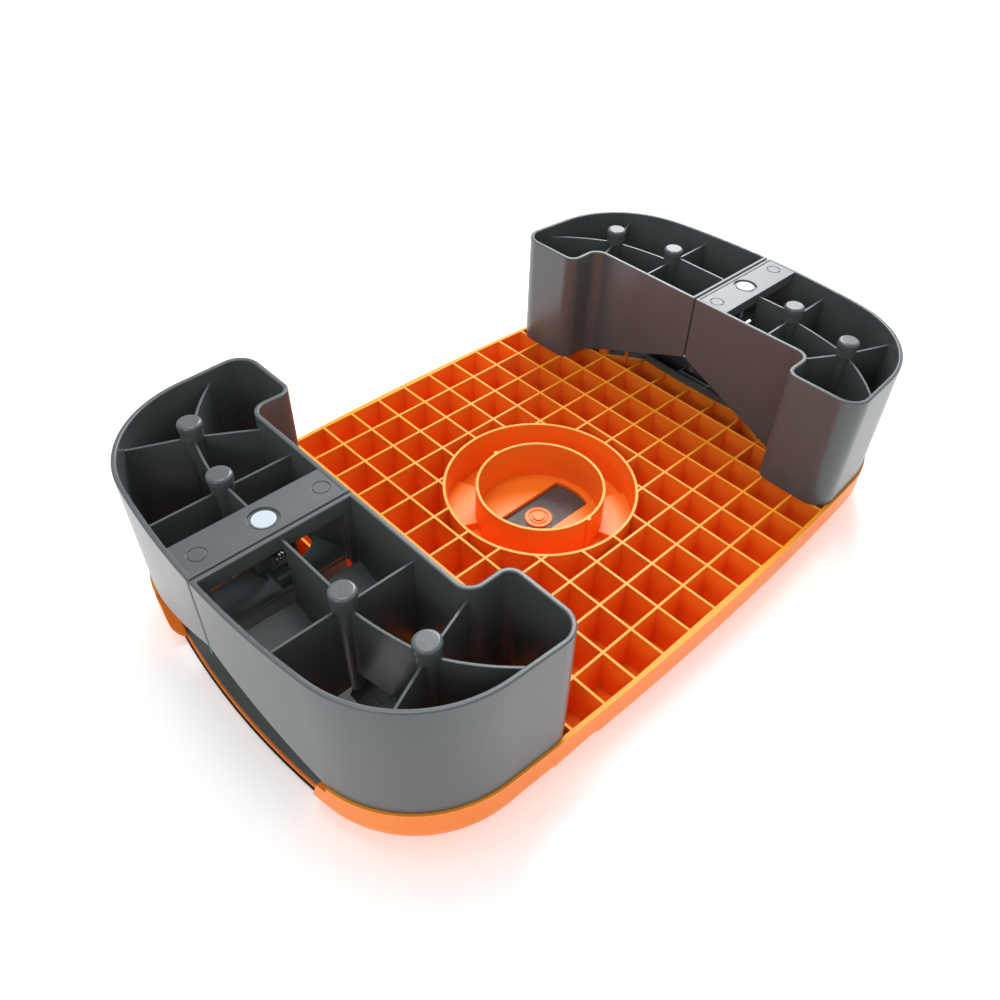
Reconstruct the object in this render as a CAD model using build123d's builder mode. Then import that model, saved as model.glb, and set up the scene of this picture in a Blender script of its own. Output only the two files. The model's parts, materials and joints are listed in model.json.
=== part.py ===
"""Low levelling step: a waffle-ribbed deck lying on its walking face, with two split riser units, feet up.

+Z is up, +X runs along the deck. The origin is under the middle of the walking face.
"""
import os

from build123d import *

os.makedirs("parts", exist_ok=True)

# ---------------------------------------------------------------- driving dimensions, millimetres
PITCH = 25.0            # waffle grid
RIB = 1.5               # riser ribs
GRID_RIB = 1.7          # waffle ribs
WALL = 3.0              # moulded outer walls
DECK_TOP = 36.0         # height of the waffle ribs above the ground
RISER_H = 88.0          # riser height above the waffle
RUN_GAP = 0.1           # gap under a riser that slides
SEAM_GAP = 0.4          # each riser half stops this far from the seam plane

# deck plan: four shallow arcs and rounded corners
HALF_LENGTH = 245.75
HALF_WIDTH = 153.25
CORNER_X = 227.2
CORNER_Y = 143.0
CORNER_R = 75.0
EDGE_R = 18.0           # round of the deck's lower edge

MAT_T = 1.5
SKIN = 3.5              # walking skin of the deck
MAT_INSET = 22.0
MAT_GRIP_INSET = 6.0    # the mat reaches further out under the grips
LIP_INSET = 7.0         # edge of the skin under the grips
CELLS_X = 20
CELLS_Y = 12

# centre rings and the turning disc
RING_OUT_R = 66.75
RING_IN_R = 44.1
RING_T = 1.9
SOCKET_Z = 6.3          # floor of the socket inside the inner ring
DISC_R = 60.0
DISC_FIT = 0.1          # running gap round the rim of the disc
DISC_GAP = 0.6          # gap round its lower face
DISC_FACE_R = 56.0      # the disc's lower face shows through the mat
DISC_FACE_Z = 0.3
DISC_TOP = 3.1
POCKET_Z = 3.3          # roof of the disc's pocket
HUB_R = 10.0
HUB_T = 1.2
HUB_GROOVE = (6.2, 7.2)
HUB_GROOVE_D = 0.7
HUB_DOME_R = 4.4
HUB_DOME_H = 1.0
HUB_STEM_R = 3.0
HUB_ROUND = 0.5
WINDOW_R = 38.0
WINDOW_W = 31.0
RAMP_H = 6.0
RAMP_START = -70
RAMP_SWEEP = 44
NUB_R = 1.8

# hand grip at each end
GRIP_HALF = 86.0        # half width of the opening in the rim
GRIP_X = 170.5          # inner edge on the axis
GRIP_KNEE = (173.0, 50.0)   # the inner edge turns here
GRIP_TIP = (155.5, 75.0)    # and runs out to this corner
GRIP_BACK_X = 170.0
GRIP_FIT = 0.3
GUSSET_TOP = (79.0, 32.0)   # where the sloping ends of the opening start: distance from the axis, height
GUSSET_FOOT = (70.0, 5.0)
INSERT_HALF = 76.0
INSERT_INSET = 8.0
RAISED_HALF = 50.0      # the lattice stands proud of the deck over this half width
RAISED_H = 4.5
INSERT_RIM = 2.0
NOTCH_FROM = (188.0, 60.0)  # the insert leaves this corner open around the anchor post
NOTCH_TO_X = 214.0
SCOOP_R = 54.0
SCOOP_X = 246.0
SCOOP_Z = 59.5
SCOOP_EDGE = 195.0      # the well ends here
LATTICE_RIBS_X = (177.0, 187.0)     # long ribs of the lattice
LATTICE_RIBS_Y = (-38.0, -11.0, 17.0)
LATTICE_RIB = 1.6
GRIP_SCREW = (181.0, 68.0)
SCREW_R = 1.6
SCREW_HEAD_R = 3.2
SCREW_HEAD_T = 2.0
SCREW_SINK = 3.0        # depth of the counterbore for a screw head

# tabs and fins of the deck at the foot of the risers
TAB_X = (153.4, 155.2)
TAB_Y = (75.6, 83.6)
TAB_TOP = 50.0
FIN_PLAIN = (162.6, 61.5)
FIN_BAR = (164.0, -50.0)
FIN_H = 9.2
FIN_T = 1.6
FIN_W = 3.0

# risers
RISER_INSET = 1.5       # outer wall stands this far inside the deck's edge
RISER_X = 150.0         # inner wall
LOBE_X = 122.5          # inner end of the corner lobes
LOBE_Y = 94.0
BAY_R = 8.0
LOBE_TIP_R = 9.0
LOBE_SIDE_R = 15.0
RIM_R = 0.9
SEAM_R = 1.5            # rounded corners at the seam
CURVE_MID = (191.2, 80.0)   # the curved rib between the posts passes here
CURVE_END = [(172.5, 123.0), (147.5, 147.5)]
SIDE_RIB_END = (220.0, 119.5)
SIDE_RIB_Y = 92.5       # where the side rib meets the inner wall of a plain half
SIDE_RIB_Y_BAR = 84.0
BAR_W = 26.0
BAR_T = 3.0
BAR_EDGE = 8.0
BAR_MARKS = (160.0, 232.0)  # round moulding marks on the bar
MARK_R = 5.0
MARK_W = 0.5
MARK_D = 0.4
BAR_RECESS = (8.5, 1.2)     # radius and depth of the recess round the button
BAR_DROP = 0.4          # the bar's face lies this far below the rim
RIB_DROP = 9.0          # cross ribs stop this far below the rim
ARCH_IN = (92.0, 38.7)  # half width and height of the hand arch at the inner wall
ARCH_OUT = (86.5, 37.5) # the same at the outer wall
ARCH_OVER = 2.0         # the arch tool reaches this far past both walls
FLOOR_T = 2.5
FLOOR_START = 4.5       # the floors leave a slot along the seam
FLOOR_END = 54.5
FLOOR_END_BAR = 48.0
FLOOR_BITE = (176.0, 49.0)
FLOOR_BITE_R = 21.0
FLANGE_DROP = 11.0      # turned-down seam edge of the bar half's floor
FLANGE_FROM = 156.0
SEAM_SILL = 66.0
SEAM_HEAD = 114.0
WINDOW_ENDS = (157.0, 236.0)
NEAR_POST = (195.0, 55.0)
FAR_POST = (184.75, 104.75)
POST_R = 5.3            # top of a tapered post, under its collar
POST_FOOT_R = 3.4
COLLAR_R = 6.6
CAP_R = 7.3
CAP_PROUD = 2.5
CAP_NECK = 3.5          # the post stops this far below the rim
CAP_STEM_R = 3.5
CAP_STEM_L = 14.0       # depth of the hole for the stem
CAP_STEM_SHORT = 0.5    # the stem stops this far above the bottom of the hole
CAP_LIP = 2.0
CAP_ROUND = 2.0
CAP_FIT = 0.06
NECK_R = 6.0

# push button and latch
BUTTON = (195.0, 12.7)  # distance from the deck centre and from the seam
BUTTON_R = 6.5
BUTTON_FIT = 0.1
BUTTON_LOW = 0.3        # the button's top lies this far below the bar
BUTTON_ROUND = 0.6
STEM_R = 3.0
STEM_FIT = 0.06
WIRE_R = 0.6
COIL_R = 2.3
COIL_X = (190.0, 197.5)
COIL_Y = 4.6            # distance of the coil's axis from the seam
COIL_Z = 103.0
COIL_TURNS = 4
LEG = (9.2, 1.6)        # ends of the straight leg, distances from the seam
PIN_LEG_END = (13.7, 111.7)     # end of the leg under the stem pin: distance from the seam, height
SEAT_X = (187.4, 200.1) # seat of the coil on the housing
SEAT_Y = (2.6, 6.6)
LUG_T = 1.5
LUG_TOP = 105.0
MANDREL_R = 1.4
LATCH_DEPTH = 5.7       # the plain half's centre rib starts here
FLANGE_R = 8.0
FLANGE_T = 2.2
FLANGE_GAP = 0.2
STEM_END = 90.0
PIN_Z = 113.0
PIN_R = 1.0
PIN_L = 15.0
HOUSING_Z = 96.0
HOUSING_T = 2.5
HOUSING_HALF = 12.0
HOUSING_W = 14.0
CHEEK_T = 2.0
CHEEK_ROUND = 0.8
CIRCLIP_Z = 94.4
CIRCLIP_T = 0.8
CIRCLIP_W = 2.0
CIRCLIP_SLOT = (2.0, 6.0)
TONGUE_T = 2.0
TONGUE_W = 12.0
TONGUE_TIP = 4.8
TONGUE_BACK = 6.0       # the tongue reaches this far behind the stem
NOSE_W = 2.2
NOSE_H = 1.6
NOSE_GAP = 0.4
NOSE_CHAMFER = 1.2
KEEPER_T = 2.4
KEEPER_H = 5.0

# anchor posts of the deck
ANCHOR = (198.0, 68.5)
ANCHOR_NECK_R = 3.0
ANCHOR_HEAD_R = 5.5
ANCHOR_HEAD_ROUND = 0.8
ANCHOR_NECK_H = 7.0
ANCHOR_HEAD_T = 2.2
ANCHOR_RIB_Y = 85.0
ANCHOR_RIB_H = 26.0
ANCHOR_RIB_X = (188.0, 245.0)
ANCHOR_CLEAR = (24.0, 30.0, 28.0)   # space cut out of the curved rib around a clip
CLIP_SCREW_H = 19.0
CLIP_Z = 39.5
CLIP_T = 3.3
CLIP_HALF = 7.0
CLIP_BACK_T = 2.4
CLIP_FIT = 0.1
SNUG_FIT = 0.02

# worked-out heights
FLOOR_Z = MAT_T + SKIN
RISER_Z = DECK_TOP + RUN_GAP
RIM_Z = DECK_TOP + RISER_H
RIB_Z = RIM_Z - RIB_DROP
BUTTON_TOP = RIM_Z - BAR_DROP - BUTTON_LOW
FAR = 400.0             # larger than the object, for cutting tools


def finish(part, name):
    """Label a piece and write it."""
    part.label = name
    export_step(part, f"parts/{name}.step")


def finish_pair(part, name):
    """Write a piece at the +X end and its copy at the -X end."""
    finish(part, f"{name}_right")
    finish(part.rotate(Axis.Z, 180), f"{name}_left")


def corner_at(shape, x, y):
    """The vertex of a sketch nearest to a point."""
    return shape.vertices().sort_by_distance((x, y, 0))[0]


def plan(inset=0.0):
    """Deck outline, or the same outline drawn in by an inset."""
    with BuildSketch() as shape:
        with BuildLine():
            ThreePointArc((CORNER_X, -CORNER_Y), (HALF_LENGTH, 0), (CORNER_X, CORNER_Y))
            ThreePointArc((CORNER_X, CORNER_Y), (0, HALF_WIDTH), (-CORNER_X, CORNER_Y))
            ThreePointArc((-CORNER_X, CORNER_Y), (-HALF_LENGTH, 0), (-CORNER_X, -CORNER_Y))
            ThreePointArc((-CORNER_X, -CORNER_Y), (0, -HALF_WIDTH), (CORNER_X, -CORNER_Y))
        make_face()
        fillet(shape.vertices(), CORNER_R)
        if inset:
            offset(amount=-inset)
    return shape.sketch


def grip_plan(fit=0.0, inset=0.0):
    """Recess of the hand grip at the +X end, drawn in by a fit and held inside the deck by an inset."""
    side = [GRIP_KNEE, GRIP_TIP, (GRIP_BACK_X, GRIP_HALF), (FAR, GRIP_HALF)]
    mirrored = [(x, -y) for x, y in reversed(side)]
    with BuildSketch() as shape:
        with BuildLine():
            ThreePointArc(mirrored[-1], (GRIP_X, 0), GRIP_KNEE)
            Polyline(*side, *mirrored)
        make_face()
        if fit:
            offset(amount=-fit, kind=Kind.INTERSECTION)
        if inset:
            add(plan(inset), mode=Mode.INTERSECT)
    return shape.sketch


def ring_sector(r_in, r_out, start, sweep):
    """A piece of a ring between two radii."""
    with BuildSketch() as shape:
        with BuildLine():
            CenterArc((0, 0), r_out, start, sweep)
            CenterArc((0, 0), r_in, start, sweep)
            Line(r_out * unit(start), r_in * unit(start))
            Line(r_out * unit(start + sweep), r_in * unit(start + sweep))
        make_face()
    return shape.sketch


def unit(angle):
    """Unit vector at an angle in degrees."""
    return Vector(1, 0).rotate(Axis.Z, angle)


# ---------------------------------------------------------------- deck
grip_cut = grip_plan()
anchor_spots = [(sx * ANCHOR[0], sy * ANCHOR[1]) for sx in (1, -1) for sy in (1, -1)]
anchor_top = DECK_TOP + ANCHOR_NECK_H

# outer body with its rounded lower edge
with BuildPart() as deck_blank:
    with BuildSketch(Plane.XY.offset(MAT_T)):
        add(plan())
    extrude(amount=DECK_TOP - MAT_T)
    fillet(deck_blank.edges().group_by(Axis.Z)[0], EDGE_R)

# square cells, all but those in the ring and under the grips, inside a rounded cavity
with BuildPart() as cavity:
    with BuildSketch(Plane.XY.offset(FLOOR_Z)):
        add(plan(WALL))
    extrude(amount=DECK_TOP)
    fillet(cavity.edges().group_by(Axis.Z)[0], EDGE_R - SKIN)

with BuildPart() as cells:
    with BuildSketch(Plane.XY.offset(FLOOR_Z)):
        with GridLocations(PITCH, PITCH, CELLS_X, CELLS_Y):
            Rectangle(PITCH - GRID_RIB, PITCH - GRID_RIB)
        Circle(RING_OUT_R + RING_T / 2, mode=Mode.SUBTRACT)
        add(grip_plan(-GRID_RIB), mode=Mode.SUBTRACT)
        add(grip_plan(-GRID_RIB).rotate(Axis.Z, 180), mode=Mode.SUBTRACT)
    extrude(amount=DECK_TOP)
    add(cavity.part, mode=Mode.INTERSECT)

# sloping ends of the grip opening in the outer wall
with BuildPart() as gusset:
    with BuildSketch(Plane.YZ.offset(GRIP_X)):
        for side in (1, -1):
            Polygon((side * GRIP_HALF, FLOOR_Z), (side * GRIP_HALF, GUSSET_TOP[1]),
                    (side * GUSSET_TOP[0], GUSSET_TOP[1]), (side * GUSSET_FOOT[0], GUSSET_FOOT[1]),
                    align=None)
    extrude(amount=FAR)
    with BuildSketch():
        add(plan())
        add(plan(LIP_INSET), mode=Mode.SUBTRACT)
    extrude(amount=FAR, mode=Mode.INTERSECT)
    add(deck_blank.part, mode=Mode.INTERSECT)

with BuildPart() as deck:
    add(deck_blank.part)
    add(cells.part, mode=Mode.SUBTRACT)
    # socket inside the inner ring, and the channel between the rings
    with BuildSketch(Plane.XY.offset(FLOOR_Z)):
        Circle(RING_OUT_R - RING_T / 2)
        Circle(RING_IN_R + RING_T / 2, mode=Mode.SUBTRACT)
    extrude(amount=FAR, mode=Mode.SUBTRACT)
    with BuildSketch(Plane.XY.offset(SOCKET_Z)):
        Circle(RING_IN_R - RING_T / 2)
    extrude(amount=FAR, mode=Mode.SUBTRACT)
    # two raised floor sectors in the channel
    with BuildSketch(Plane.XY.offset(FLOOR_Z)):
        add(ring_sector(RING_IN_R, RING_OUT_R, RAMP_START, RAMP_SWEEP))
        add(ring_sector(RING_IN_R, RING_OUT_R, RAMP_START + 180, RAMP_SWEEP))
    extrude(amount=RAMP_H)
    # slim vertical nubs outside the inner ring
    with BuildSketch(Plane.XY.offset(FLOOR_Z)):
        with PolarLocations(RING_IN_R + RING_T / 2, 2, start_angle=90):
            Circle(NUB_R)
        Circle(RING_IN_R, mode=Mode.SUBTRACT)
    extrude(amount=DECK_TOP - FLOOR_Z)
    # hand grip openings down to the skin
    with BuildSketch(Plane.XY.offset(FLOOR_Z)):
        add(grip_cut)
        add(grip_cut.rotate(Axis.Z, 180))
    extrude(amount=FAR, mode=Mode.SUBTRACT)
    add(gusset.part)
    add(gusset.part.rotate(Axis.Z, 180))
    # lip of the skin under each grip
    with BuildSketch(Plane.XY.offset(MAT_T)):
        add(grip_plan(0, LIP_INSET))
        add(grip_plan(0, LIP_INSET).rotate(Axis.Z, 180))
    extrude(amount=SKIN)
    # pocket for the flange of the turning disc, and the window above it
    with BuildSketch(Plane.XY.offset(MAT_T)):
        Circle(DISC_R + DISC_FIT)
    extrude(amount=POCKET_Z - MAT_T, mode=Mode.SUBTRACT)
    with BuildSketch(Plane.XY.offset(MAT_T)):
        Circle(WINDOW_R)
        Rectangle(FAR, WINDOW_W, mode=Mode.INTERSECT)
    extrude(amount=SOCKET_Z, mode=Mode.SUBTRACT)
    # tabs inside the foot of each riser's inner wall, and fins on the edge of the grip recess
    for sx in (1, -1):
        with BuildSketch(Plane.XY.offset(FLOOR_Z)):
            with Locations(*[(sx * sum(TAB_X) / 2, sy * sum(TAB_Y) / 2) for sy in (1, -1)]):
                Rectangle(TAB_X[1] - TAB_X[0], TAB_Y[1] - TAB_Y[0])
        extrude(amount=TAB_TOP - FLOOR_Z)
        with BuildSketch(Plane.XY.offset(FLOOR_Z)):
            with Locations(*[(sx * x, sx * y) for x, y in (FIN_PLAIN, FIN_BAR)]):
                Rectangle(FIN_W, FIN_T)
        extrude(amount=DECK_TOP + FIN_H - FLOOR_Z)
    # anchor posts
    with BuildSketch(Plane.XY.offset(FLOOR_Z)):
        with Locations(*anchor_spots):
            Circle(ANCHOR_NECK_R)
    extrude(amount=anchor_top - FLOOR_Z)
finish(deck.part, "deck")

# ---------------------------------------------------------------- tread mat on the walking face
with BuildPart() as tread_mat:
    with BuildSketch():
        add(plan(MAT_INSET))
        add(grip_plan(0, MAT_GRIP_INSET))
        add(grip_plan(0, MAT_GRIP_INSET).rotate(Axis.Z, 180))
        Circle(DISC_FACE_R + DISC_GAP, mode=Mode.SUBTRACT)
    extrude(amount=MAT_T)
finish(tread_mat.part, "tread_mat")

# ---------------------------------------------------------------- turning disc and its hub
with BuildPart() as turn_disc:
    with BuildSketch(Plane.XY.offset(DISC_FACE_Z)):
        Circle(DISC_FACE_R)
    extrude(amount=DISC_TOP - DISC_FACE_Z)
    with BuildSketch(Plane.XY.offset(MAT_T + RUN_GAP)):
        Circle(DISC_R)
    extrude(amount=DISC_TOP - MAT_T - RUN_GAP)
    with Locations((0, 0, DISC_TOP)):
        Hole(HUB_STEM_R, depth=DISC_TOP)
finish(turn_disc.part, "turn_disc")

with BuildPart() as hub_cap:
    with BuildSketch(Plane.XY.offset(DISC_FACE_Z)):
        Circle(HUB_STEM_R)
    extrude(amount=DISC_TOP - DISC_FACE_Z)
    with BuildSketch(Plane.XY.offset(DISC_TOP)):
        Circle(HUB_R)
    extrude(amount=HUB_T)
    fillet(hub_cap.faces().sort_by(Axis.Z)[-1].edges(), HUB_ROUND)
    with BuildSketch(Plane.XY.offset(DISC_TOP + HUB_T)):
        Circle(HUB_GROOVE[1])
        Circle(HUB_GROOVE[0], mode=Mode.SUBTRACT)
    extrude(amount=-HUB_GROOVE_D, mode=Mode.SUBTRACT)
    with BuildSketch(Plane.XY.offset(DISC_TOP + HUB_T)):
        Circle(HUB_DOME_R)
    extrude(amount=HUB_DOME_H)
    fillet(hub_cap.faces().sort_by(Axis.Z)[-1].edges(), HUB_ROUND)
finish(hub_cap.part, "hub_cap")

# ---------------------------------------------------------------- hand grip inserts and their screws
insert_plan = grip_plan(GRIP_FIT, INSERT_INSET)
screw_spots = [(GRIP_SCREW[0], sy * GRIP_SCREW[1]) for sy in (1, -1)]
with BuildPart() as grip_insert:
    with BuildSketch(Plane.XY.offset(FLOOR_Z)):
        add(insert_plan)
        Rectangle(2 * FAR, 2 * INSERT_HALF, mode=Mode.INTERSECT)
        for side in (1, -1):
            with Locations(((NOTCH_FROM[0] + NOTCH_TO_X) / 2, side * (NOTCH_FROM[1] + FAR / 2))):
                Rectangle(NOTCH_TO_X - NOTCH_FROM[0], FAR, mode=Mode.SUBTRACT)
    extrude(amount=DECK_TOP - FLOOR_Z)
    # the middle stands proud of the deck
    with BuildSketch(Plane.XY.offset(DECK_TOP)):
        add(insert_plan)
        Rectangle(2 * FAR, 2 * RAISED_HALF, mode=Mode.INTERSECT)
    extrude(amount=RAISED_H)
    # finger scoop, open to the end of the deck
    with BuildSketch(Plane.XZ):
        with Locations((SCOOP_X, SCOOP_Z)):
            Circle(SCOOP_R)
        with Locations((SCOOP_X + FAR / 2, SCOOP_Z)):
            Rectangle(FAR, 2 * SCOOP_R)
    extrude(amount=FAR, both=True, mode=Mode.SUBTRACT)
    # well behind the inner edge, crossed by thin ribs
    with BuildSketch(Plane.XY.offset(FLOOR_Z + WALL)):
        add(grip_plan(GRIP_FIT + INSERT_RIM))
        Rectangle(2 * SCOOP_EDGE, 2 * (RAISED_HALF - INSERT_RIM), mode=Mode.INTERSECT)
        for x in LATTICE_RIBS_X:
            with Locations((x, LATTICE_RIBS_Y[-1] - FAR / 2)):
                Rectangle(LATTICE_RIB, FAR, mode=Mode.SUBTRACT)
        for y in LATTICE_RIBS_Y:
            with Locations((0, y)):
                Rectangle(2 * FAR, LATTICE_RIB, mode=Mode.SUBTRACT)
    extrude(amount=FAR, mode=Mode.SUBTRACT)
    with Locations(*[(x, y, DECK_TOP) for x, y in screw_spots]):
        CounterBoreHole(SCREW_R, SCREW_HEAD_R + GRIP_FIT, SCREW_SINK)
finish_pair(grip_insert.part, "grip_insert")

with BuildPart() as grip_screws:
    with BuildSketch(Plane.XY.offset(FLOOR_Z)):
        with Locations(*screw_spots):
            Circle(SCREW_R)
    extrude(amount=DECK_TOP - SCREW_SINK - FLOOR_Z)
    with BuildSketch(Plane.XY.offset(DECK_TOP - SCREW_SINK)):
        with Locations(*screw_spots):
            Circle(SCREW_HEAD_R)
    extrude(amount=SCREW_HEAD_T)
finish_pair(grip_screws.part, "grip_screws")

# ---------------------------------------------------------------- heads of the anchor posts
def anchor_head(x, y):
    """Round head that holds a clip down on its anchor post."""
    with BuildPart() as head:
        with BuildSketch(Plane.XY.offset(anchor_top)):
            with Locations((x, y)):
                Circle(ANCHOR_HEAD_R)
        extrude(amount=ANCHOR_HEAD_T)
        fillet(head.faces().sort_by(Axis.Z)[-1].edges(), ANCHOR_HEAD_ROUND)
    return head.part


finish_pair(anchor_head(ANCHOR[0], ANCHOR[1]), "anchor_head_plain")
finish_pair(anchor_head(ANCHOR[0], -ANCHOR[1]), "anchor_head_bar")


# ---------------------------------------------------------------- risers, drawn at the +X end on the +Y side
def riser_plan(inset=0.0):
    """One riser half: outer wall along the deck's end, straight inner wall, lobe at the corner."""
    with BuildSketch() as shape:
        add(plan(RISER_INSET))
        with Locations((RISER_X - FAR, 0)):
            Rectangle(2 * FAR, 2 * LOBE_Y, mode=Mode.SUBTRACT)
        with Locations((LOBE_X - FAR, 0)):
            Rectangle(2 * FAR, 2 * FAR, mode=Mode.SUBTRACT)
        with Locations((0, SEAM_GAP - FAR)):
            Rectangle(2 * FAR, 2 * FAR, mode=Mode.SUBTRACT)
        fillet(corner_at(shape, RISER_X, LOBE_Y), BAY_R)
        fillet(corner_at(shape, LOBE_X, LOBE_Y), LOBE_TIP_R)
        fillet(corner_at(shape, LOBE_X, HALF_WIDTH), LOBE_SIDE_R)
        if inset:
            offset(amount=-inset)
        else:
            fillet([corner_at(shape, RISER_X, 0), corner_at(shape, HALF_LENGTH, 0)], SEAM_R)
    return shape.sketch


def arch_height(y, arch):
    """Height of the hand arch above the deck at a distance from the seam."""
    half, rise = arch
    return DECK_TOP + rise * (1 - y / half)


def arch_section(x, arch, y_from, y_to, thickness):
    """Section of the sloping floor on the plane at x."""
    low_from = arch_height(y_from, arch)
    low_to = arch_height(y_to, arch)
    with BuildSketch(Plane.YZ.offset(x)) as shape:
        Polygon((y_from, low_from), (y_to, low_to), (y_to, low_to + thickness),
                (y_from, low_from + thickness), align=None)
    return shape.sketch


def arch_tool():
    """Wedge under the arch, from the inner wall to past the outer wall."""
    with BuildPart() as tool:
        for x, arch in ((RISER_X - ARCH_OVER, ARCH_IN), (HALF_LENGTH + ARCH_OVER, ARCH_OUT)):
            with BuildSketch(Plane.YZ.offset(x)):
                Polygon((-arch[0], DECK_TOP), (arch[0], DECK_TOP), (0, DECK_TOP + arch[1]), align=None)
        loft()
    return tool.part


def sloping_floor(y_to, bar=False):
    """Floor of the two seam-side cells; the bar half's has a round bite and a turned-down seam edge."""
    with BuildPart() as floor:
        add(arch_section(RISER_X - ARCH_OVER, ARCH_IN, FLOOR_START, y_to, FLOOR_T))
        add(arch_section(HALF_LENGTH + ARCH_OVER, ARCH_OUT, FLOOR_START, y_to, FLOOR_T))
        loft()
        if bar:
            with BuildSketch():
                with Locations(FLOOR_BITE):
                    Circle(FLOOR_BITE_R)
            extrude(amount=FAR, mode=Mode.SUBTRACT)
            with BuildSketch(Plane.XY.offset(arch_height(FLOOR_START, ARCH_OUT) - FLANGE_DROP)):
                with Locations(((FLANGE_FROM + HALF_LENGTH) / 2, FLOOR_START + RIB / 2)):
                    Rectangle(HALF_LENGTH - FLANGE_FROM, RIB)
            extrude(amount=FLANGE_DROP)
        with BuildSketch(Plane.XY):
            add(riser_plan(WALL / 2))
        extrude(amount=FAR, mode=Mode.INTERSECT)
    return floor.part


def rib_web(seam_end, side_y):
    """Centre rib, curved rib and two cross ribs of one riser half."""
    with BuildPart() as web:
        with BuildSketch(Plane.XY.offset(RISER_Z)):
            with BuildLine() as curve:
                ThreePointArc(NEAR_POST, CURVE_MID, FAR_POST)
                ThreePointArc(FAR_POST, *CURVE_END)
            trace(line_width=RIB)
            with BuildLine():
                Line((RISER_X, NEAR_POST[1]), (HALF_LENGTH, NEAR_POST[1]))
            trace(line_width=RIB)
            with BuildLine():
                Line((RISER_X, side_y), FAR_POST)
                Line(FAR_POST, SIDE_RIB_END)
            trace(line_width=RIB)
        extrude(amount=RIB_Z - RISER_Z)
        with BuildSketch(Plane.XY.offset(RISER_Z)):
            with Locations((NEAR_POST[0], (seam_end + NEAR_POST[1]) / 2)):
                Rectangle(RIB, NEAR_POST[1] - seam_end)
        extrude(amount=RIM_Z - CAP_NECK - RISER_Z)
        # space around the anchor clip, and the low rib that carries it
        with BuildSketch(Plane.XY.offset(RISER_Z)):
            with Locations((ANCHOR[0], ANCHOR_RIB_Y - ANCHOR_CLEAR[1] / 2)):
                Rectangle(ANCHOR_CLEAR[0], ANCHOR_CLEAR[1])
        extrude(amount=ANCHOR_CLEAR[2], mode=Mode.SUBTRACT)
        with BuildSketch(Plane.XY.offset(RISER_Z)):
            with Locations((sum(ANCHOR_RIB_X) / 2, ANCHOR_RIB_Y)):
                Rectangle(ANCHOR_RIB_X[1] - ANCHOR_RIB_X[0], WALL)
        extrude(amount=ANCHOR_RIB_H)
        with BuildSketch(Plane.XY.offset(RISER_Z)):
            add(riser_plan(WALL / 2))
        extrude(amount=FAR, mode=Mode.INTERSECT)
    return web.part


def seam_window():
    """Opening in the seam wall, from the floor to under the rim."""
    with BuildPart() as tool:
        with BuildSketch(Plane.XZ):
            with Locations((sum(WINDOW_ENDS) / 2, (SEAM_SILL + SEAM_HEAD) / 2)):
                Rectangle(WINDOW_ENDS[1] - WINDOW_ENDS[0], SEAM_HEAD - SEAM_SILL)
        extrude(amount=-WALL - 2 * SEAM_GAP)
    return tool.part


arch = arch_tool()
window = seam_window()
outer_plan = riser_plan()
cavity_plan = riser_plan(WALL)


def riser_shell(web, floor):
    """Walls, ribs, posts and floor shared by both kinds of riser half."""
    with BuildPart() as shell:
        with BuildSketch(Plane.XY.offset(RISER_Z)):
            add(outer_plan)
            add(cavity_plan, mode=Mode.SUBTRACT)
        extrude(amount=RIM_Z - RISER_Z)
        fillet(shell.edges().group_by(Axis.Z)[-1], RIM_R)
        add(window, mode=Mode.SUBTRACT)
        add(web)
        with Locations(*[(x, y, (RISER_Z + RIB_Z) / 2) for x, y in (NEAR_POST, FAR_POST)]):
            Cone(POST_FOOT_R, POST_R, RIB_Z - RISER_Z)
        with BuildSketch(Plane.XY.offset(RIB_Z)):
            with Locations(NEAR_POST, FAR_POST):
                Circle(COLLAR_R)
        extrude(amount=RIM_Z - CAP_NECK - RIB_Z)
        add(arch, mode=Mode.SUBTRACT)
        add(floor)
        with Locations(*[(x, y, RIM_Z - CAP_NECK) for x, y in (NEAR_POST, FAR_POST)]):
            Hole(CAP_STEM_R, depth=CAP_STEM_L)
        with BuildSketch(Plane.XZ.offset(-ANCHOR_RIB_Y)):
            with Locations((ANCHOR[0], RISER_Z + CLIP_SCREW_H)):
                Circle(SCREW_R)
        extrude(amount=WALL, both=True, mode=Mode.SUBTRACT)
    return shell.part


with BuildPart() as riser_plain:
    add(riser_shell(rib_web(LATCH_DEPTH, SIDE_RIB_Y), sloping_floor(FLOOR_END)))
    # the centre rib reaches the seam wall above the window
    with BuildSketch(Plane.XY.offset(SEAM_HEAD)):
        with Locations((NEAR_POST[0], LATCH_DEPTH / 2 + WALL / 2)):
            Rectangle(RIB, LATCH_DEPTH)
    extrude(amount=RIM_Z - CAP_NECK - SEAM_HEAD)
finish_pair(riser_plain.part, "riser_plain")

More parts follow.
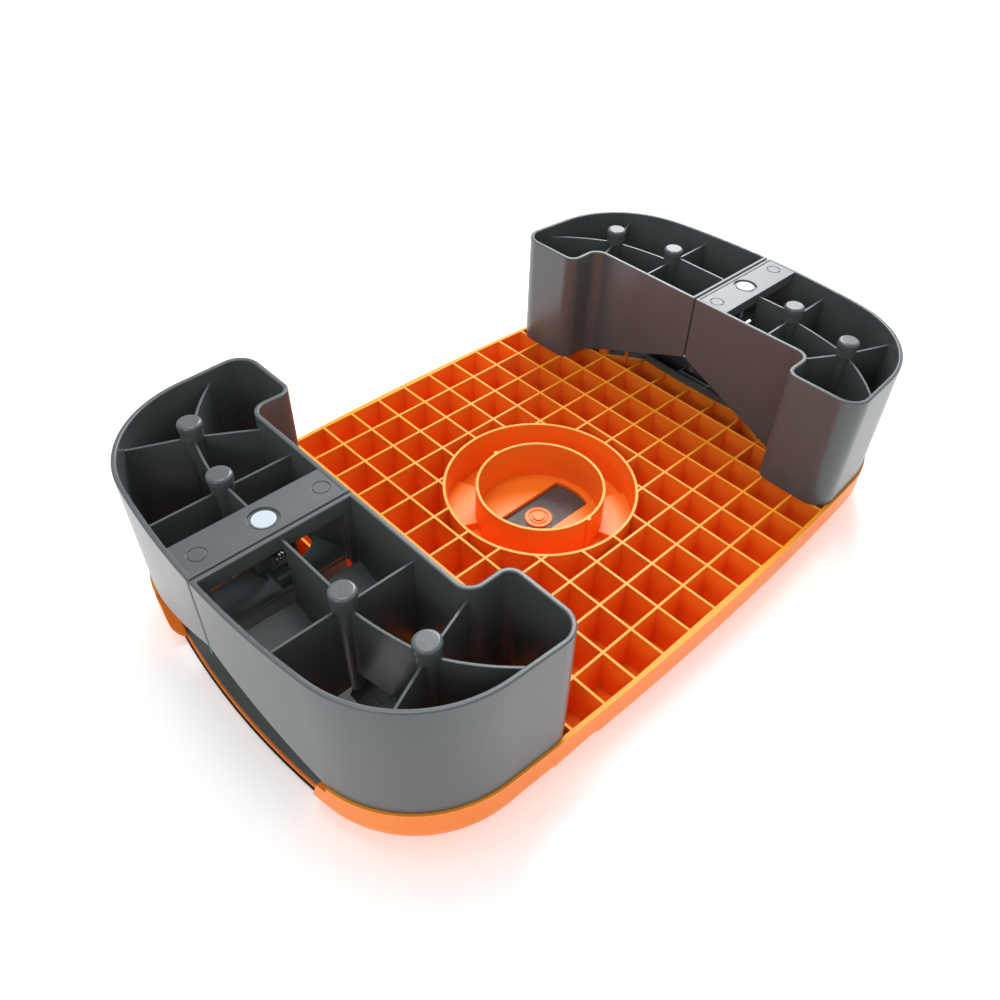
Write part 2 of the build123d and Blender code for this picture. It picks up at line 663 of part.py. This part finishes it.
with BuildPart() as riser_bar:
    add(riser_shell(rib_web(BAR_W, SIDE_RIB_Y_BAR), sloping_floor(FLOOR_END_BAR, True)))
    # flush bar across the seam end, with a turned-down edge
    with BuildSketch(Plane.XY.offset(RIM_Z - BAR_T)) as bar:
        add(riser_plan(WALL / 2))
        with Locations((0, BAR_W + FAR)):
            Rectangle(3 * FAR, 2 * FAR, mode=Mode.SUBTRACT)
    extrude(amount=BAR_T - BAR_DROP)
    with BuildSketch(Plane.XY.offset(RIM_Z - BAR_EDGE)):
        add(riser_plan(WALL / 2))
        with Locations((0, BAR_W + FAR)):
            Rectangle(3 * FAR, 2 * FAR, mode=Mode.SUBTRACT)
        with Locations((0, BAR_W - RIB - FAR)):
            Rectangle(3 * FAR, 2 * FAR, mode=Mode.SUBTRACT)
    extrude(amount=BAR_EDGE - BAR_DROP)
    with Locations((BUTTON[0], BUTTON[1], RIM_Z - BAR_DROP)):
        CounterBoreHole(BUTTON_R + BUTTON_FIT, *BAR_RECESS, depth=2 * BAR_T)
    with BuildSketch(Plane.XY.offset(RIM_Z - BAR_DROP)):
        with Locations(*[(x, BUTTON[1]) for x in BAR_MARKS]):
            Circle(MARK_R)
            Circle(MARK_R - MARK_W, mode=Mode.SUBTRACT)
    extrude(amount=-MARK_D, mode=Mode.SUBTRACT)
finish_pair(riser_bar.part.mirror(Plane.XZ), "riser_bar")

# ---------------------------------------------------------------- foot caps
def foot_cap(x, y):
    """Round cap pressed into the top of a post."""
    post_top = RIM_Z - CAP_NECK
    with BuildPart() as cap:
        with BuildSketch(Plane.XY.offset(post_top)):
            with Locations((x, y)):
                Circle(NECK_R)
        extrude(amount=CAP_NECK - CAP_LIP)
        with BuildSketch(Plane.XY.offset(RIM_Z - CAP_LIP)):
            with Locations((x, y)):
                Circle(CAP_R)
        extrude(amount=CAP_LIP + CAP_PROUD)
        fillet(cap.faces().sort_by(Axis.Z)[-1].edges(), CAP_ROUND)
        with BuildSketch(Plane.XY.offset(post_top)):
            with Locations((x, y)):
                Circle(CAP_STEM_R - CAP_FIT)
        extrude(amount=CAP_STEM_SHORT - CAP_STEM_L)
    return cap.part


for kind, side in (("plain", 1), ("bar", -1)):
    finish_pair(foot_cap(NEAR_POST[0], side * NEAR_POST[1]), f"foot_cap_{kind}_near")
    finish_pair(foot_cap(FAR_POST[0], side * FAR_POST[1]), f"foot_cap_{kind}_far")

# ---------------------------------------------------------------- push button and latch under the bar
bx = BUTTON[0]
by = -BUTTON[1]
bar_under = RIM_Z - BAR_T

with BuildPart() as push_button:
    with BuildSketch(Plane.XY.offset(bar_under - FLANGE_GAP)):
        with Locations((bx, by)):
            Circle(BUTTON_R)
    extrude(amount=BUTTON_TOP - bar_under + FLANGE_GAP)
    fillet(push_button.faces().sort_by(Axis.Z)[-1].edges(), BUTTON_ROUND)
    with BuildSketch(Plane.XY.offset(bar_under - FLANGE_GAP)):
        with Locations((bx, by)):
            Circle(FLANGE_R)
    extrude(amount=-FLANGE_T)
    with BuildSketch(Plane.XY.offset(STEM_END)):
        with Locations((bx, by)):
            Circle(STEM_R)
    extrude(amount=bar_under - FLANGE_GAP - FLANGE_T - STEM_END)
    with BuildSketch(Plane.YZ.offset(bx)):
        with Locations((by, PIN_Z)):
            Circle(PIN_R)
    extrude(amount=FLANGE_R, both=True, mode=Mode.SUBTRACT)
finish_pair(push_button.part, "push_button")

with BuildPart() as stem_pin:
    with BuildSketch(Plane.YZ.offset(bx)):
        with Locations((by, PIN_Z)):
            Circle(PIN_R)
    extrude(amount=PIN_L / 2, both=True)
finish_pair(stem_pin.part, "stem_pin")

# torsion spring: a coil along X, a straight leg across the seat and one that rises to the stem pin
with BuildPart() as button_spring:
    with BuildLine():
        coil = Helix((COIL_X[1] - COIL_X[0]) / COIL_TURNS, COIL_X[1] - COIL_X[0], COIL_R,
                     center=(COIL_X[0], -COIL_Y, COIL_Z), direction=(1, 0, 0))
    with BuildSketch(Plane(origin=coil @ 0, z_dir=coil % 0)):
        Circle(WIRE_R)
    sweep(path=coil, is_frenet=True)
    with BuildSketch(Plane.XZ.offset(LEG[1])):
        with Locations((COIL_X[1], COIL_Z + COIL_R)):
            Circle(WIRE_R)
    extrude(amount=LEG[0] - LEG[1])
    with BuildLine():
        pin_leg = Line((COIL_X[0], -COIL_Y, COIL_Z + COIL_R), (COIL_X[0], -PIN_LEG_END[0], PIN_LEG_END[1]))
    with BuildSketch(Plane(origin=pin_leg @ 0, z_dir=pin_leg % 0)):
        Circle(WIRE_R)
    sweep(path=pin_leg)
finish_pair(button_spring.part, "button_spring")

with BuildPart() as latch_housing:
    with BuildSketch(Plane.XY.offset(HOUSING_Z)):
        with Locations((bx, by)):
            Rectangle(2 * HOUSING_HALF, HOUSING_W)
            Circle(STEM_R + STEM_FIT, mode=Mode.SUBTRACT)
    extrude(amount=HOUSING_T)
    with BuildSketch(Plane.XY.offset(HOUSING_Z)):
        with Locations((bx - HOUSING_HALF + CHEEK_T / 2, by), (bx + HOUSING_HALF - CHEEK_T / 2, by)):
            Rectangle(CHEEK_T, HOUSING_W)
    extrude(amount=bar_under - HOUSING_Z)
    fillet(latch_housing.edges().filter_by(Axis.Z).sort_by(Axis.X)[:2], CHEEK_ROUND)
    # seat of the coil, its two lugs and the mandrel between them
    seat_x = sum(SEAT_X) / 2
    seat_y = -sum(SEAT_Y) / 2
    seat_w = SEAT_X[1] - SEAT_X[0]
    seat_d = SEAT_Y[1] - SEAT_Y[0]
    with BuildSketch(Plane.XY.offset(HOUSING_Z)):
        with Locations((seat_x, seat_y)):
            Rectangle(seat_w, seat_d)
    extrude(amount=HOUSING_T)
    with BuildSketch(Plane.XY.offset(HOUSING_Z)):
        with Locations((SEAT_X[0] + LUG_T / 2, seat_y), (SEAT_X[1] - LUG_T / 2, seat_y)):
            Rectangle(LUG_T, seat_d)
    extrude(amount=LUG_TOP - HOUSING_Z)
    with BuildSketch(Plane.YZ.offset(SEAT_X[0])):
        with Locations((-COIL_Y, COIL_Z)):
            Circle(MANDREL_R)
    extrude(amount=seat_w)
finish_pair(latch_housing.part, "latch_housing")

with BuildPart() as retaining_ring:
    with BuildSketch(Plane.XY.offset(CIRCLIP_Z)):
        with Locations((bx, by)):
            Circle(STEM_R + CIRCLIP_W)
            Circle(STEM_R + SNUG_FIT, mode=Mode.SUBTRACT)
        with Locations((bx, by - STEM_R)):
            Rectangle(*CIRCLIP_SLOT, mode=Mode.SUBTRACT)
    extrude(amount=CIRCLIP_T)
finish_pair(retaining_ring.part, "retaining_ring")

with BuildPart() as latch_tongue:
    with BuildSketch(Plane.XY.offset(STEM_END - TONGUE_T)):
        with Locations((bx, (TONGUE_TIP + by - TONGUE_BACK) / 2)):
            Rectangle(TONGUE_W, TONGUE_TIP - by + TONGUE_BACK)
    extrude(amount=TONGUE_T)
    with BuildSketch(Plane.XY.offset(STEM_END)):
        with Locations((bx, TONGUE_TIP - NOSE_W / 2)):
            Rectangle(TONGUE_W, NOSE_W)
    extrude(amount=NOSE_H)
    chamfer(latch_tongue.edges().filter_by(Axis.X).group_by(Axis.Z)[-1].sort_by(Axis.Y)[-1], NOSE_CHAMFER)
finish_pair(latch_tongue.part, "latch_tongue")

with BuildPart() as latch_keeper:
    with BuildSketch(Plane.XY.offset(STEM_END + NOSE_H + NOSE_GAP)):
        with Locations((bx, LATCH_DEPTH - KEEPER_T / 2)):
            Rectangle(TONGUE_W + KEEPER_T, KEEPER_T)
    extrude(amount=KEEPER_H)
finish_pair(latch_keeper.part, "latch_keeper")

# ---------------------------------------------------------------- clips that hold each riser on its post
def anchor_clip():
    """Fork under the post's head, with an upright screwed to the riser's low rib."""
    x, y = ANCHOR
    back = ANCHOR_RIB_Y - WALL / 2
    with BuildPart() as clip:
        with BuildSketch(Plane.XY.offset(CLIP_Z)):
            with Locations((x, (y - CLIP_HALF + back) / 2)):
                Rectangle(2 * CLIP_HALF, back - y + CLIP_HALF)
            with Locations((x, y)):
                Circle(ANCHOR_NECK_R + CLIP_FIT, mode=Mode.SUBTRACT)
            with Locations((x, y - CLIP_HALF)):
                Rectangle(2 * (ANCHOR_NECK_R + CLIP_FIT), 2 * CLIP_HALF, mode=Mode.SUBTRACT)
        extrude(amount=CLIP_T)
        with BuildSketch(Plane.XY.offset(CLIP_Z)):
            with Locations((x, back - CLIP_BACK_T / 2)):
                Rectangle(2 * CLIP_HALF, CLIP_BACK_T)
        extrude(amount=RISER_Z + ANCHOR_RIB_H - CLIP_Z)
        with BuildSketch(Plane.XZ.offset(-back)):
            with Locations((x, RISER_Z + CLIP_SCREW_H)):
                Circle(SCREW_R)
        extrude(amount=WALL, both=True, mode=Mode.SUBTRACT)
    return clip.part


def clip_screw():
    """Pan-head screw through the clip and the low rib."""
    x = ANCHOR[0]
    face = ANCHOR_RIB_Y - WALL / 2 - CLIP_BACK_T
    with BuildPart() as screw:
        with BuildSketch(Plane.XZ.offset(-face)):
            with Locations((x, RISER_Z + CLIP_SCREW_H)):
                Circle(SCREW_R - SNUG_FIT)
        extrude(amount=-(WALL + CLIP_BACK_T + SCREW_HEAD_T))
        with BuildSketch(Plane.XZ.offset(-face)):
            with Locations((x, RISER_Z + CLIP_SCREW_H)):
                Circle(SCREW_HEAD_R)
        extrude(amount=SCREW_HEAD_T)
    return screw.part


clip = anchor_clip()
screw = clip_screw()
finish_pair(clip, "anchor_clip_plain")
finish_pair(clip.mirror(Plane.XZ), "anchor_clip_bar")
finish_pair(screw, "clip_screw_plain")
finish_pair(screw.mirror(Plane.XZ), "clip_screw_bar")
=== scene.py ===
"""Looks for the levelling block: materials, studio floor, lights and camera."""
import json
import math

import bpy
from mathutils import Euler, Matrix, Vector


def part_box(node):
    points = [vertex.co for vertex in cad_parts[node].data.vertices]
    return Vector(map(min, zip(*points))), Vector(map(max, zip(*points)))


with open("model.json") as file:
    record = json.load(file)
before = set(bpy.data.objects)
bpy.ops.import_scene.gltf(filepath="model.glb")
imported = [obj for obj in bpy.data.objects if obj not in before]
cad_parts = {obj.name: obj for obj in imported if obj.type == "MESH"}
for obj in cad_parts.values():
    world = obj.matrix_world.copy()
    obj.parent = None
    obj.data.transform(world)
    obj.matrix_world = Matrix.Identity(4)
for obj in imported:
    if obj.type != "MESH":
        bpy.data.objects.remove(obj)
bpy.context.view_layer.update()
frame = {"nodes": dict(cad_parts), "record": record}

WHITE = (1.0, 1.0, 1.0)

# the risers stand on the rib tops of the deck, which get a painted highlight: a lighter orange where the
# overhead light falls on them
DECK_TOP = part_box("riser_bar_right")[0].z
RIB_TOP_PAINTED_HIGHLIGHT = (0.98, 0.345, 0.022)
RIB_TOP_START = (-0.0010, -0.0004)      # heights from DECK_TOP over which the painted highlight fades in
RIB_TOP_END = (0.0002, 0.0006)          # and out again

# soft radii of moulded edges, in metres
ORANGE_EDGE = 0.0004
GREY_EDGE = 0.0008
EDGE_SAMPLES = 4

FLOOR_HALF = 6.0
FLOOR_GLOW = 0.30
WORLD_STRENGTH = 0.57

# name, place, point it faces, size, power and colour
SOFTBOXES = [
    ("key_softbox", (0.95, 0.75, 1.35), (0.0, 0.0, 0.06), 0.8, 23.0, (0.98, 0.99, 1.0)),
    ("top_softbox", (-0.10, 0.20, 1.7), (0.0, 0.0, 0.05), 0.7, 9.0, (0.92, 0.96, 1.0)),
    ("back_softbox", (1.35, 0.70, 0.82), (0.15, 0.0, 0.10), 0.7, 7.0, (0.94, 0.97, 1.0)),
    ("left_softbox", (-1.5, -0.5, 0.8), (-0.1, 0.0, 0.08), 0.6, 4.0, WHITE),
]

CAMERA_PLACE = (-0.3292, -0.2968, 0.4416)
CAMERA_TURN = (46.41, -2.75, -44.95)    # degrees about X, Y and Z
CAMERA_SENSOR = 36.0
CAMERA_LENS = 31.2
CAMERA_SHIFT_X = -0.0353
CAMERA_NEAR = 0.01


# ---------------------------------------------------------------- material helpers
class Graph:
    """A material's node tree with short calls for the nodes used here."""

    def __init__(self, name):
        self.material = bpy.data.materials.new(name)
        self.material.use_nodes = True
        self.tree = self.material.node_tree
        self.shader = self.tree.nodes["Principled BSDF"]
        self.place = self.tree.nodes.new("ShaderNodeTexCoord").outputs["Object"]

    def link(self, source, target):
        self.tree.links.new(source, target)

    def set(self, **values):
        """Set shader inputs, with underscores for spaces."""
        for key, value in values.items():
            self.shader.inputs[key.replace("_", " ")].default_value = value

    def noise(self, scale, detail=2.0, roughness=0.5, stretch=None):
        place = self.place
        if stretch:
            mapping = self.tree.nodes.new("ShaderNodeMapping")
            mapping.inputs["Scale"].default_value = stretch
            self.link(place, mapping.inputs["Vector"])
            place = mapping.outputs["Vector"]
        node = self.tree.nodes.new("ShaderNodeTexNoise")
        node.inputs["Scale"].default_value = scale
        node.inputs["Detail"].default_value = detail
        node.inputs["Roughness"].default_value = roughness
        self.link(place, node.inputs["Vector"])
        return node.outputs["Fac"]

    def ramp(self, factor, stops):
        node = self.tree.nodes.new("ShaderNodeValToRGB")
        elements = node.color_ramp.elements
        while len(elements) < len(stops):
            elements.new(0.5)
        for element, (position, colour) in zip(elements, stops):
            element.position = position
            element.color = (*colour, 1.0)
        self.link(factor, node.inputs["Fac"])
        return node.outputs["Color"]

    def map_range(self, value, low, high, to_low=0.0, to_high=1.0):
        node = self.tree.nodes.new("ShaderNodeMapRange")
        for key, number in (("From Min", low), ("From Max", high), ("To Min", to_low), ("To Max", to_high)):
            node.inputs[key].default_value = number
        self.link(value, node.inputs["Value"])
        return node.outputs["Result"]

    def mix(self, factor, first, second, mode="MIX"):
        node = self.tree.nodes.new("ShaderNodeMix")
        node.data_type = "RGBA"
        node.blend_type = mode
        if isinstance(factor, float):
            node.inputs["Factor"].default_value = factor
        else:
            self.link(factor, node.inputs["Factor"])
        for socket, value in ((node.inputs[6], first), (node.inputs[7], second)):
            if isinstance(value, tuple):
                socket.default_value = (*value, 1.0)
            else:
                self.link(value, socket)
        return node.outputs[2]

    def height(self):
        """Height above the ground, in metres."""
        node = self.tree.nodes.new("ShaderNodeSeparateXYZ")
        self.link(self.place, node.inputs["Vector"])
        return node.outputs["Z"]

    def colour(self, source):
        self.link(source, self.shader.inputs["Base Color"])

    def roughness(self, source):
        self.link(source, self.shader.inputs["Roughness"])

    def bump(self, layers, edge_round=0.0):
        """Stack bumps on softened edges. A layer is a height source, its distance and its strength."""
        normal = None
        if edge_round:
            bevel = self.tree.nodes.new("ShaderNodeBevel")
            bevel.samples = EDGE_SAMPLES
            bevel.inputs["Radius"].default_value = edge_round
            normal = bevel.outputs["Normal"]
        for source, distance, strength in layers:
            node = self.tree.nodes.new("ShaderNodeBump")
            node.inputs["Distance"].default_value = distance
            node.inputs["Strength"].default_value = strength
            self.link(source, node.inputs["Height"])
            if normal is not None:
                self.link(normal, node.inputs["Normal"])
            normal = node.outputs["Normal"]
        self.link(normal, self.shader.inputs["Normal"])


def orange_plastic():
    """Satin orange polypropylene, a little see-through, with faint flow marks."""
    g = Graph("orange_plastic")
    flow = g.noise(9.0, 3.0, 0.55)
    base = g.ramp(flow, [(0.3, (0.94, 0.215, 0.018)), (0.7, (0.98, 0.248, 0.022))])
    # painted highlight: a thin band of heights at the deck's rib tops is coloured a lighter orange, as if
    # lit from above
    height = g.height()
    rising = g.map_range(height, DECK_TOP + RIB_TOP_START[0], DECK_TOP + RIB_TOP_START[1])
    falling = g.map_range(height, DECK_TOP + RIB_TOP_END[0], DECK_TOP + RIB_TOP_END[1], 1.0, 0.0)
    base = g.mix(rising, base, g.mix(falling, base, RIB_TOP_PAINTED_HIGHLIGHT))
    g.colour(base)
    g.roughness(g.map_range(g.noise(60.0, 4.0), 0.3, 0.7, 0.32, 0.42))
    g.bump([(g.noise(2600.0, 2.0), 0.00004, 0.25), (g.noise(35.0, 2.0), 0.0003, 0.12)], ORANGE_EDGE)
    g.set(Subsurface_Weight=0.12, Subsurface_Radius=(0.005, 0.0014, 0.0004), Subsurface_Scale=0.6)
    g.set(IOR=1.48, Specular_IOR_Level=0.28)
    return g.material


def grey_plastic():
    """Dark grey satin polypropylene with fine grain and faint vertical flow marks."""
    g = Graph("grey_plastic")
    flow = g.noise(14.0, 3.0, 0.6, stretch=(1.0, 1.0, 0.12))
    g.colour(g.ramp(flow, [(0.35, (0.078, 0.089, 0.092)), (0.65, (0.094, 0.106, 0.109))]))
    g.roughness(g.map_range(flow, 0.3, 0.7, 0.27, 0.35))
    ripple = g.noise(16.0, 2.0, 0.5, stretch=(1.0, 1.0, 0.1))
    g.bump([(g.noise(3200.0, 2.0), 0.00003, 0.3), (ripple, 0.0006, 0.15)], GREY_EDGE)
    g.set(IOR=1.50)
    return g.material


def cap_rubber():
    """Grey caps, a shade lighter than the risers, with a skin shine."""
    g = Graph("cap_rubber")
    g.colour(g.ramp(g.noise(120.0, 4.0), [(0.3, (0.086, 0.098, 0.102)), (0.7, (0.104, 0.117, 0.121))]))
    g.roughness(g.map_range(g.noise(300.0, 3.0), 0.3, 0.7, 0.22, 0.32))
    g.bump([(g.noise(900.0, 3.0), 0.00006, 0.35)])
    g.set(IOR=1.5)
    return g.material


def mat_rubber():
    """Matt black tread rubber."""
    g = Graph("mat_rubber")
    g.colour(g.ramp(g.noise(200.0, 4.0), [(0.3, (0.012, 0.012, 0.013)), (0.7, (0.020, 0.020, 0.021))]))
    g.roughness(g.map_range(g.noise(500.0, 3.0), 0.3, 0.7, 0.6, 0.8))
    g.bump([(g.noise(900.0, 3.0), 0.0002, 0.5)])
    return g.material


def button_plastic():
    """Glossy white button."""
    g = Graph("button_plastic")
    g.colour(g.ramp(g.noise(80.0, 2.0), [(0.3, (0.52, 0.57, 0.64)), (0.7, (0.56, 0.61, 0.68))]))
    g.roughness(g.map_range(g.noise(400.0, 2.0), 0.3, 0.7, 0.2, 0.3))
    g.bump([(g.noise(1200.0, 2.0), 0.00002, 0.2)])
    return g.material


def bright_steel():
    """Plated spring wire, pins and screws."""
    g = Graph("bright_steel")
    g.colour(g.ramp(g.noise(700.0, 3.0), [(0.3, (0.72, 0.73, 0.75)), (0.7, (0.86, 0.87, 0.88))]))
    g.roughness(g.map_range(g.noise(900.0, 3.0), 0.3, 0.7, 0.12, 0.24))
    g.set(Metallic=1.0)
    g.bump([(g.noise(2500.0, 2.0), 0.00002, 0.2)])
    return g.material


def plate_plastic():
    """Dark brown-grey plate with a spark-eroded texture."""
    g = Graph("plate_plastic")
    g.colour(g.ramp(g.noise(260.0, 5.0, 0.65), [(0.3, (0.055, 0.045, 0.042)), (0.7, (0.095, 0.080, 0.075))]))
    g.roughness(g.map_range(g.noise(500.0, 3.0), 0.3, 0.7, 0.45, 0.65))
    g.bump([(g.noise(1400.0, 3.0), 0.00015, 0.6)])
    return g.material


MATERIALS = {
    "orange_plastic": orange_plastic(),
    "grey_plastic": grey_plastic(),
    "grey_rubber": cap_rubber(),
    "black_rubber": mat_rubber(),
    "white_plastic": button_plastic(),
    "bright_steel": bright_steel(),
    "dark_plate": plate_plastic(),
}

for part in frame["record"]["subparts"]:
    node = frame["nodes"][part["node"]]
    node.data.materials.clear()
    node.data.materials.append(MATERIALS[part["material_slot"]])


# ---------------------------------------------------------------- studio
def floor_white():
    """Matt white floor that glows a little, so that it stays pale."""
    g = Graph("floor_white")
    g.colour(g.ramp(g.noise(0.8, 1.0), [(0.0, (0.90, 0.90, 0.90)), (1.0, (0.93, 0.93, 0.93))]))
    g.set(Roughness=0.9, Specular_IOR_Level=0.1)
    g.set(Emission_Strength=FLOOR_GLOW, Emission_Color=(*WHITE, 1.0))
    return g.material


def add_softbox(name, place, target, size, power, colour):
    """Round area light at a place, turned to face a point."""
    light = bpy.data.lights.new(name, "AREA")
    light.shape = "DISK"
    light.size = size
    light.energy = power
    light.color = colour
    lamp = bpy.data.objects.new(name, light)
    bpy.context.scene.collection.objects.link(lamp)
    lamp.location = place
    lamp.rotation_euler = (Vector(target) - Vector(place)).to_track_quat("-Z", "Y").to_euler()


floor_mesh = bpy.data.meshes.new("floor")
corners = [(sx * FLOOR_HALF, sy * FLOOR_HALF, 0) for sx, sy in ((-1, -1), (1, -1), (1, 1), (-1, 1))]
floor_mesh.from_pydata(corners, [], [(0, 1, 2, 3)])
floor = bpy.data.objects.new("floor", floor_mesh)
bpy.context.scene.collection.objects.link(floor)
floor_mesh.materials.append(floor_white())

world = bpy.data.worlds.new("studio")
bpy.context.scene.world = world
world.use_nodes = True
background = world.node_tree.nodes["Background"]
background.inputs["Color"].default_value = (*WHITE, 1.0)
background.inputs["Strength"].default_value = WORLD_STRENGTH

for softbox in SOFTBOXES:
    add_softbox(*softbox)

camera_data = bpy.data.cameras.new("camera")
camera_data.sensor_width = CAMERA_SENSOR
camera_data.lens = CAMERA_LENS
camera_data.shift_x = CAMERA_SHIFT_X
camera_data.clip_start = CAMERA_NEAR
camera = bpy.data.objects.new("camera", camera_data)
bpy.context.scene.collection.objects.link(camera)
camera.location = CAMERA_PLACE
camera.rotation_euler = Euler([math.radians(angle) for angle in CAMERA_TURN], "XYZ")
bpy.context.scene.camera = camera
bpy.context.scene.view_settings.view_transform = "Standard"
